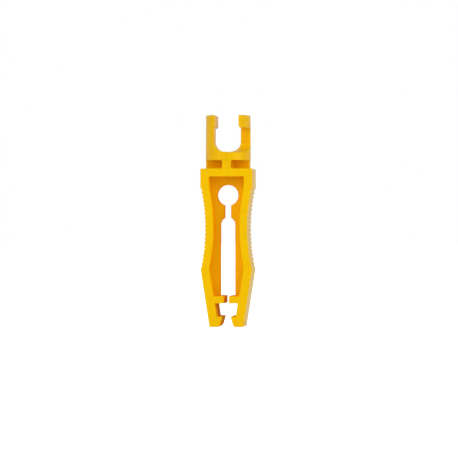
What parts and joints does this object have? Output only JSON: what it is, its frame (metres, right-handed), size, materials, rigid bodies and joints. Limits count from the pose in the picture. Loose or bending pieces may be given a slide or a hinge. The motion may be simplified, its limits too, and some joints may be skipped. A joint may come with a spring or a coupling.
{
  "type": "fuse puller",
  "caption": "Plastic fuse puller: squeeze handle with serrated arms, hooked jaws for blade fuses at the bottom and a U-shaped snap clip for glass tube fuses at the top.",
  "frame": {"origin": "middle of the base plane that the two jaw tips stand on, halfway through the depth", "axes": "+Z from the jaw tips up to the clip, +X to the right across the two arms, -Y is the front"},
  "size_m": [0.0128, 0.0112, 0.0527],
  "materials": {
    "moulding": "semi-gloss yellow moulded plastic"
  },
  "bodies": {
    "head": {"crossbar": "moulding", "left_shoulder": "moulding", "right_shoulder": "moulding", "web_bridge": "moulding", "neck_rib": "moulding", "left_neck_web": "moulding", "right_neck_web": "moulding", "clip_base": "moulding"},
    "left_arm": {"left_grip": "moulding", "left_lower_rail": "moulding", "left_web": "moulding", "left_stop_bar": "moulding", "left_jaw_wall": "moulding", "left_hook": "moulding"},
    "right_arm": {"right_grip": "moulding", "right_lower_rail": "moulding", "right_web": "moulding", "right_stop_bar": "moulding", "right_jaw_wall": "moulding", "right_hook": "moulding"},
    "left_clip": {"left_prong": "moulding", "left_lip": "moulding"},
    "right_clip": {"right_prong": "moulding", "right_lip": "moulding"}
  },
  "joints": [
    {"name": "left_arm_bend", "type": "hinge", "parent": "head", "child": "left_arm", "pos_m": [-0.0045, 0, 0.03275], "axis": [0, 1, 0], "range_deg": [-1.3, 2.7], "stiffness_Nm_per_rad": 4},
    {"name": "right_arm_bend", "type": "hinge", "parent": "head", "child": "right_arm", "pos_m": [0.0045, 0, 0.03275], "axis": [0, -1, 0], "range_deg": [-1.3, 2.7], "stiffness_Nm_per_rad": 4},
    {"name": "left_clip_bend", "type": "hinge", "parent": "head", "child": "left_clip", "pos_m": [-0.0044, 0, 0.046], "axis": [0, -1, 0], "range_deg": [0, 2], "stiffness_Nm_per_rad": 2.5},
    {"name": "right_clip_bend", "type": "hinge", "parent": "head", "child": "right_clip", "pos_m": [0.0044, 0, 0.046], "axis": [0, 1, 0], "range_deg": [0, 2], "stiffness_Nm_per_rad": 2.5}
  ],
  "couplings": [
    {"joint": "right_arm_bend", "follows": "left_arm_bend", "ratio": 1}
  ]
}
